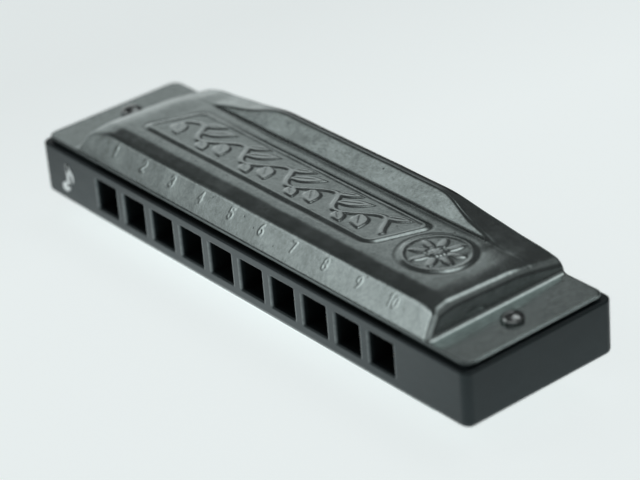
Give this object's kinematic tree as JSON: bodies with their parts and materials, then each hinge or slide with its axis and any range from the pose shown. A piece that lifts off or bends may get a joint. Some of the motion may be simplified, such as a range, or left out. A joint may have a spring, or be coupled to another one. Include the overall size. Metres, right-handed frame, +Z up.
{
  "type": "diatonic harmonica",
  "caption": "Straight diatonic harmonica: dark plastic comb with a row of square mouth holes, brass reed plates and two satin steel covers flaring to a rear sound opening.",
  "frame": {"origin": "middle of the comb, which is the middle of the whole instrument left to right and top to bottom", "axes": "+X along the row of holes from hole 1 (low notes) to hole 10, -Y out of the mouthpiece side, +Z up through the upper cover"},
  "size_m": [0.1036, 0.0286, 0.021],
  "materials": {
    "comb_plastic": "satin black moulded plastic",
    "cover_steel": "satin stainless sheet",
    "brass": "flat rolled brass",
    "nail_steel": "dark polished nail head",
    "screw_steel": "nickel-plated"
  },
  "bodies": {
    "harp": {"comb": "comb_plastic", "upper_reed_plate": "brass", "lower_reed_plate": "brass", "blow_rivet_1": "brass", "blow_rivet_2": "brass", "blow_rivet_3": "brass", "blow_rivet_4": "brass", "blow_rivet_5": "brass", "blow_rivet_6": "brass", "blow_rivet_7": "brass", "blow_rivet_8": "brass", "blow_rivet_9": "brass", "blow_rivet_10": "brass", "draw_rivet_1": "brass", "draw_rivet_2": "brass", "draw_rivet_3": "brass", "draw_rivet_4": "brass", "draw_rivet_5": "brass", "draw_rivet_6": "brass", "draw_rivet_7": "brass", "draw_rivet_8": "brass", "draw_rivet_9": "brass", "draw_rivet_10": "brass", "upper_plate_screw_front_left": "screw_steel", "upper_plate_screw_front_right": "screw_steel", "upper_plate_screw_rear_left": "screw_steel", "upper_plate_screw_rear_right": "screw_steel", "upper_plate_screw_middle": "screw_steel", "lower_plate_screw_front_left": "screw_steel", "lower_plate_screw_front_right": "screw_steel", "lower_plate_screw_rear_left": "screw_steel", "lower_plate_screw_rear_right": "screw_steel", "lower_plate_screw_middle": "screw_steel", "upper_cover": "cover_steel", "lower_cover": "cover_steel", "upper_cover_nail_left": "nail_steel", "upper_cover_nail_right": "nail_steel", "lower_cover_nail_left": "nail_steel", "lower_cover_nail_right": "nail_steel"},
    "blow_reed_1": {"blow_reed_1": "brass"},
    "draw_reed_1": {"draw_reed_1": "brass"},
    "blow_reed_2": {"blow_reed_2": "brass"},
    "draw_reed_2": {"draw_reed_2": "brass"},
    "blow_reed_3": {"blow_reed_3": "brass"},
    "draw_reed_3": {"draw_reed_3": "brass"},
    "blow_reed_4": {"blow_reed_4": "brass"},
    "draw_reed_4": {"draw_reed_4": "brass"},
    "blow_reed_5": {"blow_reed_5": "brass"},
    "draw_reed_5": {"draw_reed_5": "brass"},
    "blow_reed_6": {"blow_reed_6": "brass"},
    "draw_reed_6": {"draw_reed_6": "brass"},
    "blow_reed_7": {"blow_reed_7": "brass"},
    "draw_reed_7": {"draw_reed_7": "brass"},
    "blow_reed_8": {"blow_reed_8": "brass"},
    "draw_reed_8": {"draw_reed_8": "brass"},
    "blow_reed_9": {"blow_reed_9": "brass"},
    "draw_reed_9": {"draw_reed_9": "brass"},
    "blow_reed_10": {"blow_reed_10": "brass"},
    "draw_reed_10": {"draw_reed_10": "brass"}
  },
  "joints": [
    {"name": "blow_reed_1_swing", "type": "hinge", "parent": "harp", "child": "blow_reed_1", "pos_m": [-0.03375, -0.009, 0.00291], "axis": [1, 0, 0], "range_deg": [-1.4, 1.4], "stiffness_Nm_per_rad": 0.0004},
    {"name": "draw_reed_1_swing", "type": "hinge", "parent": "harp", "child": "draw_reed_1", "pos_m": [-0.03375, 0.0077, -0.0043], "axis": [1, 0, 0], "range_deg": [-1.4, 1.4], "stiffness_Nm_per_rad": 0.0004},
    {"name": "blow_reed_2_swing", "type": "hinge", "parent": "harp", "child": "blow_reed_2", "pos_m": [-0.02625, -0.009, 0.00291], "axis": [1, 0, 0], "range_deg": [-1.4, 1.4], "stiffness_Nm_per_rad": 0.0004},
    {"name": "draw_reed_2_swing", "type": "hinge", "parent": "harp", "child": "draw_reed_2", "pos_m": [-0.02625, 0.00698, -0.0043], "axis": [1, 0, 0], "range_deg": [-1.4, 1.4], "stiffness_Nm_per_rad": 0.0004},
    {"name": "blow_reed_3_swing", "type": "hinge", "parent": "harp", "child": "blow_reed_3", "pos_m": [-0.01875, -0.009, 0.00291], "axis": [1, 0, 0], "range_deg": [-1.4, 1.4], "stiffness_Nm_per_rad": 0.0004},
    {"name": "draw_reed_3_swing", "type": "hinge", "parent": "harp", "child": "draw_reed_3", "pos_m": [-0.01875, 0.00626, -0.0043], "axis": [1, 0, 0], "range_deg": [-1.4, 1.4], "stiffness_Nm_per_rad": 0.0004},
    {"name": "blow_reed_4_swing", "type": "hinge", "parent": "harp", "child": "blow_reed_4", "pos_m": [-0.01125, -0.009, 0.00291], "axis": [1, 0, 0], "range_deg": [-1.4, 1.4], "stiffness_Nm_per_rad": 0.0004},
    {"name": "draw_reed_4_swing", "type": "hinge", "parent": "harp", "child": "draw_reed_4", "pos_m": [-0.01125, 0.00553, -0.0043], "axis": [1, 0, 0], "range_deg": [-1.4, 1.4], "stiffness_Nm_per_rad": 0.0004},
    {"name": "blow_reed_5_swing", "type": "hinge", "parent": "harp", "child": "blow_reed_5", "pos_m": [-0.00375, -0.009, 0.00291], "axis": [1, 0, 0], "range_deg": [-1.4, 1.4], "stiffness_Nm_per_rad": 0.0004},
    {"name": "draw_reed_5_swing", "type": "hinge", "parent": "harp", "child": "draw_reed_5", "pos_m": [-0.00375, 0.00481, -0.0043], "axis": [1, 0, 0], "range_deg": [-1.4, 1.4], "stiffness_Nm_per_rad": 0.0004},
    {"name": "blow_reed_6_swing", "type": "hinge", "parent": "harp", "child": "blow_reed_6", "pos_m": [0.00375, -0.009, 0.00291], "axis": [1, 0, 0], "range_deg": [-1.4, 1.4], "stiffness_Nm_per_rad": 0.0004},
    {"name": "draw_reed_6_swing", "type": "hinge", "parent": "harp", "child": "draw_reed_6", "pos_m": [0.00375, 0.00409, -0.0043], "axis": [1, 0, 0], "range_deg": [-1.4, 1.4], "stiffness_Nm_per_rad": 0.0004},
    {"name": "blow_reed_7_swing", "type": "hinge", "parent": "harp", "child": "blow_reed_7", "pos_m": [0.01125, -0.009, 0.00291], "axis": [1, 0, 0], "range_deg": [-1.4, 1.4], "stiffness_Nm_per_rad": 0.0004},
    {"name": "draw_reed_7_swing", "type": "hinge", "parent": "harp", "child": "draw_reed_7", "pos_m": [0.01125, 0.00337, -0.0043], "axis": [1, 0, 0], "range_deg": [-1.4, 1.4], "stiffness_Nm_per_rad": 0.0004},
    {"name": "blow_reed_8_swing", "type": "hinge", "parent": "harp", "child": "blow_reed_8", "pos_m": [0.01875, -0.009, 0.00291], "axis": [1, 0, 0], "range_deg": [-1.4, 1.4], "stiffness_Nm_per_rad": 0.0004},
    {"name": "draw_reed_8_swing", "type": "hinge", "parent": "harp", "child": "draw_reed_8", "pos_m": [0.01875, 0.00264, -0.0043], "axis": [1, 0, 0], "range_deg": [-1.4, 1.4], "stiffness_Nm_per_rad": 0.0004},
    {"name": "blow_reed_9_swing", "type": "hinge", "parent": "harp", "child": "blow_reed_9", "pos_m": [0.02625, -0.009, 0.00291], "axis": [1, 0, 0], "range_deg": [-1.4, 1.4], "stiffness_Nm_per_rad": 0.0004},
    {"name": "draw_reed_9_swing", "type": "hinge", "parent": "harp", "child": "draw_reed_9", "pos_m": [0.02625, 0.00192, -0.0043], "axis": [1, 0, 0], "range_deg": [-1.4, 1.4], "stiffness_Nm_per_rad": 0.0004},
    {"name": "blow_reed_10_swing", "type": "hinge", "parent": "harp", "child": "blow_reed_10", "pos_m": [0.03375, -0.009, 0.00291], "axis": [1, 0, 0], "range_deg": [-1.4, 1.4], "stiffness_Nm_per_rad": 0.0004},
    {"name": "draw_reed_10_swing", "type": "hinge", "parent": "harp", "child": "draw_reed_10", "pos_m": [0.03375, 0.0012, -0.0043], "axis": [1, 0, 0], "range_deg": [-1.4, 1.4], "stiffness_Nm_per_rad": 0.0004}
  ]
}
